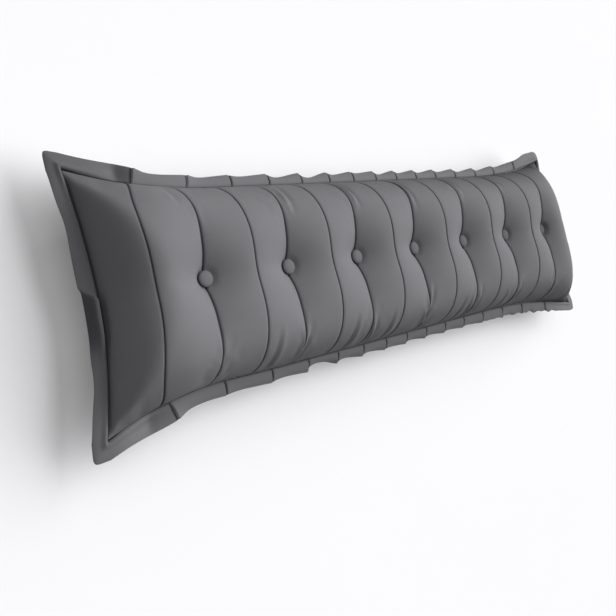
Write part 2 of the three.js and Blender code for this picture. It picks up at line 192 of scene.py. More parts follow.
# Short folds that the buttoned seams pull into the cloth beside the border: which seam, which edge (1 is
# the top one), how far from the seam the fold is at its near and far end, how far those ends are from the
# edge, then its half width and height, all in millimetres. A fold of positive height steps down to the right.
Fold = namedtuple("Fold", "seam edge near_offset far_offset near far half_width height")
FOLDS = [
    Fold(-6, 1, -34, -32, 50, 110, 6.5, 1.1),
    Fold(-4, 1, 28, 21, 30, 140, 7.5, 2.6),
    Fold(-2, 1, 14, 18, 30, 135, 6.5, 2.8),
    Fold(0, 1, 8, 13, 30, 145, 6.5, 2.6),
    Fold(2, 1, 14, 17, 30, 125, 6.5, 2.0),
    Fold(4, 1, 14, 16, 30, 115, 6.5, 1.6),
    Fold(-4, -1, -69, -63, 10, 145, 7.5, -2.3),
    Fold(-4, -1, -4, 10, 30, 135, 6.5, 2.2),
    Fold(-2, -1, -54, -45, 10, 135, 7.5, -2.8),
    Fold(-2, -1, 26, 6, 10, 125, 6.5, 2.6),
    Fold(-2, -1, 66, 71, 10, 125, 7.5, -2.2),
    Fold(0, -1, 22, -14, 5, 115, 6.5, 2.0),
    Fold(0, -1, -4, 17, 80, 160, 6.5, 2.2),
    Fold(2, -1, -54, -47, 10, 115, 7.5, -2.2),
    Fold(2, -1, -12, -20, 10, 120, 6.5, -1.7),
    Fold(2, -1, 12, 17, 40, 135, 6.5, 2.2),
    Fold(4, -1, -50, -46, 10, 110, 7.5, -1.6),
    Fold(4, -1, 12, 16, 40, 120, 6.5, 1.6),
    Fold(6, -1, 10, 14, 40, 110, 6.5, 1.1),
]

# How firmly the cloth is held while it settles, its weight and stiffness, and the share of its settling
# that shows
HELD_OPEN = 0.03
HELD_SEAM = 0.5
HELD_BUTTONED_SEAM = 0.8
HELD_SEAM_REACH = 4 * MM
HELD_BUTTON_REACH = 24 * MM
CLOTH_FEEL = {
    "quality": 6,
    "mass": 0.2,
    "tension_stiffness": 20,
    "compression_stiffness": 20,
    "shear_stiffness": 8,
    "bending_stiffness": 2,
    "air_damping": 2,
}
SETTLE_CREST = 0.15
SETTLE_BOTTOM = 0.45
SETTLE_TOP = 0.2
SETTLE_POWER = 2

# Long sides of the border (1 is the top one): the strip's lean towards the back in degrees, at the tucks and
# halfway between them, from the left, how far single tucks lie from their even row in millimetres, how far
# the tucks slant, their share of the full relief, how sharp the dips between them are, where the soft valley
# before the first tuck is, how much painted shade it has, the share of the painted shadow line at the root
# that is lost left of it, and how much wider the first and last stretches and the crinkles make the strip
LongSide = namedtuple(
    "LongSide",
    "at_tucks between tuck_shifts slant tuck_share dip_power soft_valley valley_shade lost_root "
    "first_stretch last_stretch crinkle",
)
LONG_SIDES = {
    1: LongSide(
        at_tucks=[10, 16, 20, 20, 20, 20, 20, 20, 20, 20, 20, 20, 18, 14, 8],
        between=[4, 20, 30, 30, 43, 54, 36, 30, 44, 38, 40, 38, 42, 38, 30, 2],
        tuck_shifts={-6: -8, -5: -12, -4: -10, -3: -6, -2: -3, -1: -2, 6: -11, 7: -18},
        slant=7 * MM, tuck_share=0.8, dip_power=1.6, soft_valley=-666 * MM, valley_shade=0.45, lost_root=0,
        first_stretch=4 * MM, last_stretch=5 * MM, crinkle=0,
    ),
    -1: LongSide(
        at_tucks=[4, 8, 14, 18, 18, 18, 18, 18, 18, 16, 14, 8, 2, 4, 2],
        between=[2, 14, 24, 30, 70, 40, 36, 28, 36, 32, 30, 26, 14, 20, 14, 0],
        tuck_shifts={-7: -6, -6: -12, -5: -4, 6: -5, 7: -4},
        slant=5 * MM, tuck_share=1, dip_power=1, soft_valley=-685 * MM, valley_shade=0.28, lost_root=1,
        first_stretch=6.5 * MM, last_stretch=0, crinkle=4 * MM,
    ),
}

# Short sides of the border (1 is the right one): lean in degrees at even steps from the bottom up, and how
# much narrower the left one is and how much painted shade it has
SHORT_SIDE_LEAN = {-1: [4, 2, 8, 16, 12, 4, 2, 2], 1: [-4, 4, 10, 14, 14, 8, 6, 4]}
LEFT_NARROWING = 5 * MM
LEFT_NARROW_PLACE = 0.6
LEFT_NARROW_REACH = 0.2
LEFT_SHADE = 0.2

# Tucks: their pitch, which spreads with the cube of their number, and their profile, which grows to the
# right and rises from the seam over a share of the width. Some lie the other way, right over left: side,
# number from the middle and slant in millimetres.
TUCKS_EACH_SIDE = 7
TUCK_PITCH = 75.4 * MM
TUCK_SPREAD = 0.328 * MM
TUCK_STEP_START = -1.8 * MM
TUCK_STEP_END = -0.3 * MM
TUCK_RUN = 9 * MM
TUCK_GROOVE = 0.6 * MM
# The dark line of each tuck is a painted shadow beside its edge
TUCK_LINE_PLACE = 2 * MM
TUCK_LINE = 2.9 * MM
ODD_TUCK_LINE = 1.8 * MM
TUCK_ROOT = 0.4
TUCK_LINE_ROOT = 0.125
RIGHT_TUCK_GROWTH = 0.9
SLANT_REACH = 28 * MM
DIP_SKEW = 0.75
STRETCH_CROWDING = 0.88
OddTuck = namedtuple("OddTuck", "side number slant")
ODD_TUCKS = [OddTuck(1, -7, 12), OddTuck(1, -6, 11), OddTuck(-1, -7, 14)]

# Stretches of the strip that are wider, and the fine crinkles of its edge at the bottom right
FIRST_STRETCH_PLACE = -665 * MM
FIRST_STRETCH_REACH = 45 * MM
LAST_STRETCH_PLACE = 700 * MM
LAST_STRETCH_REACH = 30 * MM
CRINKLE_PITCH = 58 * MM
CRINKLE_OVERTONE = 1.7
CRINKLE_START = 250 * MM
CRINKLE_FULL = 600 * MM

# Section of the strip: its gap to the body, its bulge, and the puffed lip and painted shadow line beside the
# seam
BORDER_GAP = 0.4 * MM
BULGE_SKEW = 0.8
BULGE_POWER = 0.5
LEAST_BEND = 0.01
LIP_MIDDLE = 0.2
LIP_SPREAD = 0.16
SHORT_SIDE_LIP = 2.2 * MM
LONG_SIDE_LIP = 0.8 * MM
ROOT_LINE = 0.06
LONG_SIDE_ROOT = 0.45
LEFT_ROOT_REACH = 30 * MM
RIGHT_ROOT_REACH = 150 * MM
LOST_ROOT_RUN = 12 * MM

# Soft valley in the strip between each left corner and the first tuck
SOFT_VALLEY_DEPTH = 10 * MM
SOFT_VALLEY_RUN = 24 * MM
SOFT_VALLEY_EDGE = 2 * MM

# The buckle in the left border: a ridge beside the seam with a sharp slanting fold at its top end
BUCKLE_HEIGHT = 12 * MM
BUCKLE_RIDGE = 0.24
BUCKLE_TOP = 6 * MM
BUCKLE_TOP_SLANT = 20 * MM
BUCKLE_TOP_RUN = 1.6 * MM
BUCKLE_BOTTOM = -78 * MM
BUCKLE_BOTTOM_RUN = 9 * MM
BUCKLE_DRAW_IN = 4 * MM
# Painted shade on the cloth below the ridge; the ridge itself is left lighter, without painted shade
BUCKLE_SHADE = 0.5
BUCKLE_SHADE_START = 0.34
BUCKLE_SHADE_RUN = 0.03
BUCKLE_LIGHT_SPREAD = 0.1

# Covered buttons: their profile and grid, and the painted shade on each from the left, more on those further
# right, as they sit deeper in their valleys
BUTTON_FOOT = 0.86
BUTTON_RIM_POWER = 0.75
BUTTON_DOME_POWER = 0.95
BUTTON_GATHER_POWER = 8
BUTTON_LOW_STEPS = 5
BUTTON_HIGH_STEPS = 15
BUTTON_PLACES_ROUND = 64
BUTTON_SHADES = [0.1, 0.1, 0.12, 0.2, 0.28, 0.34, 0.4]

# Sockets of the Mix node when it mixes colours, by number, as several of its sockets share one name
MIX_FACTOR = 0
MIX_FIRST = 6
MIX_SECOND = 7
MIX_RESULT = 2

# Cloth and floor: how far slubs are stretched along the threads, the details of their noise, whose middle is
# a half, and the share of the threads in the relief
WHITE = (1, 1, 1, 1)
SLUB_STRETCH = 9
SLUB_DETAIL = 3
SLUB_ROUGHNESS = 0.6
MOTTLE_DETAIL = 2
NOISE_MIDDLE = 0.5
THREAD_SHARE = 0.5
FLOOR_MOTTLE_SCALE = 3
FLOOR_MOTTLE_SHARE = 0.985
FLOOR_ROUGHNESS = 0.9
FLOOR_SPECULAR = 0.1

# Stage
CAMERA_PLACE = Vector((-1238.8, -70.5, 1172.0)) * MM
CAMERA_TARGET = Vector((-290.9, -78.9, 88.0)) * MM
CAMERA_ROLL = math.radians(79.08)
CAMERA_LENS = 39.387
CAMERA_SENSOR = 36
KEY_DIRECTION = Vector((0.754, 0.133, 0.643))
FILL_DIRECTION = Vector((-0.321, 0.383, 0.866))
LIGHT_COLOUR = (0.98, 0.98, 1.0)
FLOOR_HALF = 8
FLOOR_DROP = 0.5 * MM


# Small numpy helpers


def crowded(count, crowding):
    """Shares from 0 up to 1 that crowd towards both ends: u less crowding times sin(2 pi u) / (2 pi)."""
    even = np.linspace(0, 1, count, endpoint=False)
    return even - crowding * np.sin(2 * np.pi * even) / (2 * np.pi)


def stretches(ends, count, crowding):
    """Places along a row of stretches, each with count places that crowd towards its two ends."""
    shares = crowded(count, crowding)
    ends = np.asarray(ends)
    inner = ends[:-1, None] + np.diff(ends)[:, None] * shares[None, :]
    return np.append(inner.ravel(), ends[-1])


def smooth_step(value):
    """A soft switch from 0 to 1 about 0: one over one plus e to the minus value."""
    return 1 / (1 + np.exp(-np.clip(value, -LARGEST_POWER, LARGEST_POWER)))


def bell(value):
    """A bell curve: e to the minus value squared."""
    return np.exp(-(value**2))


def part_way(value, start, end):
    """How far a value is from a start to an end, held between 0 and 1."""
    return np.clip((value - start) / (end - start), 0, 1)


def eased(share):
    """A share with a soft start and end: three times its square less twice its cube."""
    return share**2 * (3 - 2 * share)


def nearness(distance, reach):
    """One at a line or corner and nought past its reach: one less the eased share of the reach."""
    return 1 - eased(np.clip(distance / reach, 0, 1))


def blended(plain, first, last, near_first, near_last):
    """A plain value that turns into another one near each of two corners."""
    return plain + (first - plain) * near_first + (last - plain) * near_last


def beside_nearest(place, lines):
    """Signed distance of places from the nearest of some lines."""
    nearest = np.abs(place[..., None] - lines).argmin(axis=-1)
    return place - lines[nearest]


def stacked(*parts):
    """A grid of points from their parts, each of which may be one row, one column or the whole grid."""
    return np.stack(np.broadcast_arrays(*parts), axis=-1)


def surface_normals(points):
    """Unit normals of a grid of points: the cross product of its steps along the columns and the rows."""
    along = np.gradient(points, axis=1)
    across = np.gradient(points, axis=0)
    normals = np.cross(along, across)
    return normals / np.maximum(np.linalg.norm(normals, axis=-1, keepdims=True), TINY)


def path_length(points, axis):
    """Length along one axis of a grid of points, from its first line."""
    steps = np.linalg.norm(np.diff(points, axis=axis), axis=-1)
    pad = [(0, 0)] * steps.ndim
    pad[axis] = (1, 0)
    return np.cumsum(np.pad(steps, pad), axis=axis)


def grid_values(values, row, column):
    """Values of a grid at places between its lines: a straight blend of the four points around each place."""
    low_row = np.clip(np.floor(row).astype(int), 0, values.shape[0] - 2)
    low_column = np.clip(np.floor(column).astype(int), 0, values.shape[1] - 2)
    up = (row - low_row)[..., None]
    along = (column - low_column)[..., None]
    lower = values[low_row, low_column] * (1 - along) + values[low_row, low_column + 1] * along
    upper = values[low_row + 1, low_column] * (1 - along) + values[low_row + 1, low_column + 1] * along
    return lower * (1 - up) + upper * up


def grid_quads(rows, columns, start=0):
    """Corner numbers of the quads of a grid, anticlockwise with rows upwards and columns to the right."""
    index = start + np.arange(rows * columns).reshape(rows, columns)
    corners = [index[:-1, :-1], index[:-1, 1:], index[1:, 1:], index[1:, :-1]]
    return np.stack(corners, axis=-1).reshape(-1, 4)


def rim_places(rows, columns):
    """Point numbers round the rim of a grid, anticlockwise from its first corner."""
    index = np.arange(rows * columns).reshape(rows, columns)
    return np.concatenate([index[0, :-1], index[:-1, -1], index[-1, :0:-1], index[:0:-1, 0]])


def edge_triangles(face_rim, back_rim):
    """Triangles that join a rim to another with half as many points: three to each pair of its steps."""
    middle = face_rim[1::2]
    first = face_rim[::2]
    last = np.roll(first, -1)
    back_last = np.roll(back_rim, -1)
    sides = [(first, back_rim, middle), (middle, back_rim, back_last), (middle, back_last, last)]
    return np.concatenate([np.stack(corners, axis=-1) for corners in sides])


def make_piece(name, points, faces, lay, crease, material):
    """A mesh object at the origin from points, faces, the cloth's lay as UV and its shares of painted shade.
    """
    mesh = bpy.data.meshes.new(name)
    mesh.from_pydata(points.tolist(), [], faces)
    corner_points = np.empty(len(mesh.loops), dtype=np.int32)
    mesh.loops.foreach_get("vertex_index", corner_points)
    uv = mesh.uv_layers.new(name=CLOTH_UV)
    uv.data.foreach_set("uv", lay[corner_points].astype(np.float32).ravel())
    attribute = mesh.attributes.new(PAINTED_SHADE, "FLOAT", "POINT")
    attribute.data.foreach_set("value", crease.astype(np.float32))
    mesh.shade_smooth()
    mesh.materials.append(material)
    mesh.validate()
    piece = bpy.data.objects.new(name, mesh)
    bpy.context.scene.collection.objects.link(piece)
    return piece


# Shader maths


class Value:
    """A number that changes over a surface: one socket, with arithmetic that adds Math nodes."""

    def __init__(self, paint, socket):
        self.paint = paint
        self.socket = socket

    def math(self, operation, first, second=0):
        """One Math node."""
        return self.paint.value("ShaderNodeMath", "Value", {"operation": operation}, {0: first, 1: second})

    def sine(self):
        """The sine of an angle in radians."""
        return self.math("SINE", self)

    def __add__(self, other):
        return self.math("ADD", self, other)

    def __radd__(self, other):
        return self.math("ADD", other, self)

    def __sub__(self, other):
        return self.math("SUBTRACT", self, other)

    def __rsub__(self, other):
        return self.math("SUBTRACT", other, self)

    def __mul__(self, other):
        return self.math("MULTIPLY", self, other)

    def __rmul__(self, other):
        return self.math("MULTIPLY", other, self)


class Paint:
    """A material whose nodes are made by one method."""

    def __init__(self, name):
        self.material = bpy.data.materials.new(name)
        self.material.use_nodes = True
        self.tree = self.material.node_tree
        self.tree.nodes.clear()

    def node(self, kind, settings=None, sockets=None):
        """A node of a kind, its settings first, then the values or links of its sockets."""
        made = self.tree.nodes.new(kind)
        for setting, value in (settings or {}).items():
            setattr(made, setting, value)
        for key, value in (sockets or {}).items():
            if isinstance(value, Value):
                self.tree.links.new(value.socket, made.inputs[key])
            else:
                made.inputs[key].default_value = value
        return made

    def value(self, kind, output, settings=None, sockets=None):
        """One output of a new node, ready for arithmetic."""
        return Value(self, self.node(kind, settings, sockets).outputs[output])

    def noise(self, **sockets):
        """Noise of a texture, about a half."""
        return self.value("ShaderNodeTexNoise", "Fac", sockets=sockets)

    def mix_colour(self, factor, first, second):
        """A colour between two plain ones."""
        sockets = {MIX_FACTOR: factor, MIX_FIRST: (*first, 1), MIX_SECOND: (*second, 1)}
        return self.value("ShaderNodeMix", MIX_RESULT, {"data_type": "RGBA"}, sockets)

    def finish(self, sockets):
        """The finished material, with one principled shader on these sockets."""
        shader = self.value("ShaderNodeBsdfPrincipled", "BSDF", sockets=sockets)
        self.node("ShaderNodeOutputMaterial", sockets={"Surface": shader})
        return self.material


def woven_cloth(name, look):
    """Close-woven satin-faced cloth: fine crossing threads, faint slubs and mottling, and painted shade.

    The threads are the product of two sines across each other. The share of the dark colour is the base shade
    plus the painted shade read from the mesh, the mottling and the slubs, each times its own strength.
    Painted shade below nought lightens the cloth as painted light.
    """
    paint = Paint(name)
    lay = paint.value("ShaderNodeUVMap", "UV", {"uv_map": CLOTH_UV})
    # Shade painted into the colour, read from the mesh attribute
    crease = paint.value("ShaderNodeAttribute", "Fac", {"attribute_name": PAINTED_SHADE})
    split = paint.node("ShaderNodeSeparateXYZ", sockets={"Vector": lay})
    turns = 2 * math.pi / look.thread_pitch
    warp = (Value(paint, split.outputs["X"]) * turns).sine()
    weft = (Value(paint, split.outputs["Y"]) * turns).sine()
    slub_scale = (look.slub_scale, look.slub_scale * SLUB_STRETCH, 1)
    slub_lay = paint.value("ShaderNodeMapping", "Vector", sockets={"Vector": lay, "Scale": slub_scale})
    slub = paint.noise(Vector=slub_lay, Scale=1, Detail=SLUB_DETAIL, Roughness=SLUB_ROUGHNESS)
    mottle = paint.noise(Vector=lay, Scale=look.mottle_scale, Detail=MOTTLE_DETAIL)
    mottle_swing = mottle - NOISE_MIDDLE
    slub_swing = slub - NOISE_MIDDLE
    shade = crease * look.painted_shade_strength + mottle_swing * look.mottle_shade + slub_swing * look.slub_shade
    held = paint.value("ShaderNodeClamp", "Result", sockets={"Value": shade + look.base_shade})
    relief = {
        "Strength": look.weave_strength,
        "Distance": look.weave_height,
        "Height": warp * weft * THREAD_SHARE + slub,
    }
    return paint.finish(
        {
            "Base Color": paint.mix_colour(held, look.light_colour, look.painted_shade_colour),
            "Roughness": look.roughness + mottle_swing * look.roughness_change,
            "Normal": paint.value("ShaderNodeBump", "Normal", sockets=relief),
            "Specular IOR Level": look.specular,
        }
    )


def pale_floor(look):
    """A pale matt floor with faint mottling, which gives a little light of its own."""
    paint = Paint("pale_floor")
    place = paint.value("ShaderNodeTexCoord", "Object")
    mottle = paint.noise(Vector=place, Scale=FLOOR_MOTTLE_SCALE, Detail=MOTTLE_DETAIL)
    darker = [FLOOR_MOTTLE_SHARE * part for part in look.floor_colour]
    return paint.finish(
        {
            "Base Color": paint.mix_colour(mottle, look.floor_colour, darker),
            "Roughness": FLOOR_ROUGHNESS,
            "Specular IOR Level": FLOOR_SPECULAR,
            "Emission Color": WHITE,
            "Emission Strength": look.floor_glow,
        }
    )


# Settings that a user would change, with lengths in millimetres and angles in degrees


def length_setting(name, description, millimetres):
    """A length, with its default in millimetres."""
    return FloatProperty(name=name, description=description, unit="LENGTH", default=millimetres * MM)


def angle_setting(name, description, degrees):
    """An angle, with its default in degrees."""
    return FloatProperty(name=name, description=description, subtype="ANGLE", default=math.radians(degrees))


def share_setting(name, description, default):
    """A share of a whole."""
    return FloatProperty(name=name, description=description, subtype="FACTOR", default=default)


def number_setting(name, description, default):
    """A number that has no unit."""
    return FloatProperty(name=name, description=description, default=default)


def count_setting(name, description, default):
    """A whole number."""
    return IntProperty(name=name, description=description, default=default)


def colour_setting(name, description, default):
    """A colour of red, green and blue."""
    return FloatVectorProperty(name=name, description=description, subtype="COLOR", default=default)


class ClothLook(PropertyGroup):
    """Colour, painted shade, gloss and weave of the cloth."""

    # The dark colour stands for painted shade and is mixed in by the painted shade shares; the light colour
    # is cloth without it
    light_colour: colour_setting("Light colour", "Cloth on open ground", (0.16, 0.16, 0.166))
    painted_shade_colour: colour_setting("Dark colour", "Cloth deep in a crease", (0.012, 0.012, 0.013))
    base_shade: share_setting("Base shade", "Share of the dark colour everywhere", 0.1)
    painted_shade_strength: share_setting("Crease shade", "Share of the dark colour in a crease", 0.88)
    mottle_scale: number_setting("Mottle scale", "Patches in each metre", 14)
    mottle_shade: share_setting("Mottle shade", "How far the patches vary", 0.05)
    slub_scale: number_setting("Slub scale", "Slubs in each metre", 160)
    slub_shade: share_setting("Slub shade", "How far single threads vary", 0.06)
    thread_pitch: length_setting("Thread pitch", "From one thread to the next", 0.8)
    weave_strength: share_setting("Weave strength", "How far the threads stand out", 0.25)
    weave_height: length_setting("Weave height", "Relief of the threads", 0.15)
    roughness: share_setting("Roughness", "Gloss of the cloth", 0.7)
    roughness_change: share_setting("Roughness change", "How far the gloss varies", 0.1)
    specular: share_setting("Specular", "Strength of the gloss", 0.1)


class BodySizes(PropertyGroup):
    """Sizes and shades of the filled body."""

    face_crown: length_setting("Face crown", "From the edge seam to the crest", 113)
    back_crown: length_setting("Back crown", "Before the floor presses it flat", 108)
    edge_half: length_setting("Edge half thickness", "Of the sewn edge", 1.6)
    valley_depth: length_setting("Valley depth", "From a crest down to a buttoned seam", 14.5)
    dimple_depth: length_setting("Dimple depth", "How much deeper a valley is at its button", 23)
    dimple_reach: length_setting("Dimple reach", "How far a button pulls along its seam", 32)
    dimple_softness: length_setting("Dimple softness", "Rounding of the lowest point", 14)
    row_depth: length_setting("Row depth", "Dip of the face along the row of buttons", 8)
    row_reach: length_setting("Row reach", "How wide that dip is", 50)
    seat_reach: length_setting("Seat reach", "Bowl that a button sits in", 18.5)
    seat_gap: length_setting("Seat gap", "From the bowl to the button", 1)
    groove_depth: length_setting("Groove depth", "Of a face seam", 3)
    groove_width: length_setting("Groove width", "From a seam to where its groove is a third as deep", 1.4)
    # Painted shadow line in each face seam's groove
    seam_line: length_setting("Seam line", "Half width of the dark line of a face seam", 1.6)
    # Painted shade beside the border, where the face dips to it, and at the left end
    edge_shade: share_setting("Edge shade", "Crease share where the face dips to the border", 0.45)
    edge_shade_reach: length_setting("Edge shade reach", "How far from the edge that goes", 130)
    end_shade: share_setting("End shade", "Crease share of the strip at the left end", 0.2)
    end_shade_reach: length_setting("End reach", "How far from the left end the edge shade is lost", 170)
    columns_per_strip: count_setting("Columns per strip", "Grid lines in a face strip", 34)
    rows: count_setting("Rows", "Grid lines across the height, an odd number", 131)
    settle_columns: count_setting("Settling columns", "Grid lines along the cloth that settles", 261)
    settle_rows: count_setting("Settling rows", "Grid lines across the cloth that settles", 81)
    settle_frames: count_setting("Settling frames", "Steps that the cloth settles for", 20)
    settle_excess: share_setting("Excess cloth", "How much larger the cloth is cut", 0.008)
    settle_pressure: number_setting("Filling pressure", "Push of the filling", 4)
    settle_cap: length_setting("Settling cap", "The furthest that a point may move", 4)


class BorderSizes(PropertyGroup):
    """Sizes of the border strip."""

    width: length_setting("Width", "From the seam to the edge", 30)
    half_thickness: length_setting("Half thickness", "Half the height of the doubled strip", 2.6)
    root_half_thickness: length_setting("Root half thickness", "Where the seam holds the strip", 0.8)
    tuck_rise: length_setting("Tuck rise", "Of the upper edge of a tuck", 1)
    tuck_drop: length_setting("Tuck drop", "Of the cloth that goes under it", 1)
    places_per_stretch: count_setting("Places per stretch", "Grid lines between two tucks", 36)
    places_up_side: count_setting("Places up a side", "Grid lines up a short side", 180)
    section_steps: count_setting("Section steps", "Grid lines across the strip", 16)


class ButtonSizes(PropertyGroup):
    """Sizes of a covered button."""

    rim_height: length_setting("Rim height", "From its underside to its widest line", 2.6)
    dome_height: length_setting("Dome height", "From its widest line to its top", 5.6)
    drawn_in: length_setting("Drawn in", "How far its thread draws its rim in", 1)
    # Painted shadow up the left of each button's rim
    rim_shade_height: length_setting("Rim shade height", "How far up the dark of its rim goes", 6.8)
    pleats: count_setting("Pleats", "Gathers of the cover round the rim", 26)
    pleat_depth: length_setting("Pleat depth", "Of a gather", 0.25)


class StageLook(PropertyGroup):
    """Floor and lights."""

    floor_colour: colour_setting("Floor colour", "Pale floor", (0.7, 0.7, 0.7))
    floor_glow: number_setting("Floor glow", "Light that the floor gives", 0.1)
    room_light: number_setting("Room light", "Even light from all round", 0)
    key_strength: number_setting("Key strength", "Distant soft light at the right", 4.75)
    key_spread: angle_setting("Key spread", "Width of the soft light", 70)
    fill_strength: number_setting("Fill strength", "Distant soft light above", 1.1)
    fill_spread: angle_setting("Fill spread", "Width of the light above", 60)


# Shape of the filled body


def at_corner(field, s, t):
    """A value of the nearest corner, for places at shares s and t."""
    top = np.where(s < 0, getattr(CORNERS[-1, 1], field), getattr(CORNERS[1, 1], field))
    bottom = np.where(s < 0, getattr(CORNERS[-1, -1], field), getattr(CORNERS[1, -1], field))
    return np.where(t > 0, top, bottom)


def flare(s, t):
    """Share of the corner flare: how far past the flare's start, raised to a power."""
    start = at_corner("flare_start", s, t)
    run = np.clip((np.abs(s) - start) / (1 - start), 0, None)
    return run**FLARE_POWER


def plan_point(s, t):
    """Plan of the body at shares s and t of its half length and half height, drawn out at its corners.

    The bottom edge draws in a little more near its left end, by a bell curve.
    """
    pull = (at_corner("x", s, t) - SEAM_HALF_LENGTH) * t**2 * np.abs(s) ** END_FLARE_POWER
    from_draw_in = (s * SEAM_HALF_LENGTH - BOTTOM_DRAW_IN_PLACE) / BOTTOM_DRAW_IN_REACH
    waist = np.where(t > 0, TOP_HALF_HEIGHT, BOTTOM_HALF_HEIGHT - BOTTOM_DRAW_IN * bell(from_draw_in))
    half_height = waist + (at_corner("y", s, t) - waist) * flare(s, t)
    return s * SEAM_HALF_LENGTH + np.sign(s) * pull, SEAM_RISE + t * half_height


def end_share(s, t):
    """Share of the crown near an end: a squared quarter dome from the edge seam to where it is full."""
    left_run = LEFT_RUN * (1 - LEFT_RUN_ROUNDING * np.abs(t) ** LEFT_RUN_POWER)
    run = np.where(s > 0, RIGHT_RUN + RIGHT_RUN_CHANGE * t, left_run)
    inside = np.clip((1 - np.abs(s)) * SEAM_HALF_LENGTH / run, 0, 1)
    return (1 - (1 - inside) ** END_FULLNESS) ** END_ROUNDING


def crown_share(s, t):
    """Share of the full crown: a squared dome across the height, times the share near the ends.

    The dome is less steep near the left end, where the corners hold little filling.
    """
    flatness = CORNER_FLATNESS * nearness((1 + s) * SEAM_HALF_LENGTH, CORNER_FLAT_REACH)
    rounding = np.where(t > 0, TOP_ROUNDING, BOTTOM_ROUNDING) + flatness
    return (1 - np.abs(t) ** CROWN_FULLNESS) ** rounding * end_share(s, t)


def from_button(s, t):
    """How far places at shares s and t are to the right of the nearest button's seam and above its row."""
    aside = beside_nearest(s * SEAM_HALF_LENGTH, BUTTON_SEAMS)
    return aside, t * SEAM_HALF_HEIGHT + SEAM_RISE - BUTTON_ROW


def face_points(sizes, s, t):
    """Large forms of the face: its crown, less the valleys along the buttoned seams, the dimples at the
    buttons and a dip along their row, and held below each button by its seat.
    """
    x, y = plan_point(s, t)
    place = s * SEAM_HALF_LENGTH
    aside, above = from_button(s, t)
    channel = np.clip(1 - np.abs(aside) / SEAM_PITCH, 0, None) ** 2
    valley = sizes.valley_depth * (1 - eased(part_way(np.abs(t), VALLEY_FADE_START, VALLEY_FADE_END)))
    along_seam = np.hypot(above, sizes.dimple_softness) - sizes.dimple_softness
    dimple = sizes.dimple_depth * np.exp(-along_seam / sizes.dimple_reach)
    row = sizes.row_depth * bell(above / sizes.row_reach)
    row = row * (1 - part_way(place, ROW_FADE_START, ROW_FADE_END))
    shallower = 1 - RIGHT_VALLEY_LOSS * part_way(place, 0, RIGHT_VALLEY_PLACE)
    pulled_down = (valley + dimple) * channel * shallower + row
    rise = (sizes.face_crown - sizes.edge_half - pulled_down) * crown_share(s, t)
    level = SEAM_LEVEL + sizes.edge_half + np.clip(rise, 0, None)
    seat = np.exp(-((np.hypot(aside, above) / sizes.seat_reach) ** SEAT_POWER))
    seated = np.minimum(level, BUTTON_LOW.z - sizes.seat_gap)
    level = level * (1 - seat) + seated * seat
    return stacked(x, y, level)


def back_points(sizes, s, t):
    """The plain back: its own crown below the edge seam, pressed flat where it lies on the floor."""
    x, y = plan_point(s, t)
    level = np.clip(SEAM_LEVEL - sizes.edge_half - sizes.back_crown * crown_share(s, t), 0, None)
    return stacked(x, y, level)


def bowed(s, t):
    """Shares of the half length along grid lines that bow with the outer left seam near its two ends.

    The seam moves right by a power of the share of the half height, and before that a little left, by the
    share's square times the square of what that lacks to one. The lines beside it move less.
    """
    beside = [-SEAM_HALF_LENGTH, SEAMS[0], SEAMS[1]]
    share = np.interp(s * SEAM_HALF_LENGTH, beside, [0, 1, 0])
    bow = np.where(t > 0, TOP_SEAM_BOW, BOTTOM_SEAM_BOW)
    move = bow * np.abs(t) ** SEAM_BOW_POWER - SEAM_SWING * t**2 * (1 - t**2) ** 2
    return s + share * move / SEAM_HALF_LENGTH


def seam_grooves(sizes, s, t):
    """Depth of the face seams and the shadow painted into their grooves, which run out at the edge.

    The depth falls off as e to the minus distance over width. The painted shadow is a thin dark line on a
    bell curve, with a fainter painted shade beside it that falls off like the depth.
    """
    beside = np.abs(beside_nearest(s * SEAM_HALF_LENGTH, SEAMS))
    fade = 1 - np.abs(t) ** GROOVE_FADE_POWER
    depth = sizes.groove_depth * np.exp(-beside / sizes.groove_width)
    line = SEAM_LINE_SHADE * bell(beside / sizes.seam_line)
    dark = np.maximum(line, SEAM_SHADE * np.exp(-beside / SEAM_SHADE_REACH))
    return depth * fade, dark * fade


def left_rim_share(aside):
    """One at the left rim of a button, falling evenly to nought at its right rim."""
    return np.clip((1 - aside / BUTTON_RADIUS) / 2, 0, 1)


def face_shade(sizes, s, t, from_edge):
    """Painted shade of the face, as a sum of four painted shades.

    Beside the border the painted shade eases out over its reach, and it is lost towards the left end. The
    left end has one of its own, darker towards the top. A painted shadow on a bell curve about each button's
    rim is darkest at its left, and a slow fade along the face is lightest near the left end, where it is
    painted light.
    """
    place = s * SEAM_HALF_LENGTH
    from_end = place + SEAM_HALF_LENGTH
    top = np.interp(place, TOP_SHADE_PLACES, TOP_SHADE_SHARES)
    bottom = np.interp(place, BOTTOM_SHADE_PLACES, BOTTOM_SHADE_SHARES)
    edge = sizes.edge_shade * nearness(from_edge, sizes.edge_shade_reach) * np.where(t > 0, top, bottom)
    edge = edge * (1 - nearness(from_end, sizes.end_shade_reach))
    end = sizes.end_shade * nearness(from_end, END_PANEL_REACH) * (1 + END_PANEL_TILT * t)
    aside, above = from_button(s, t)
    from_rim = np.hypot(aside, above) - BUTTON_RADIUS
    rim = BUTTON_RIM_SHADE * left_rim_share(aside) * bell(from_rim / BUTTON_RIM_REACH)
    return edge + end + rim + np.interp(place, SLOW_FADE_PLACES, SLOW_FADE_SHADES)


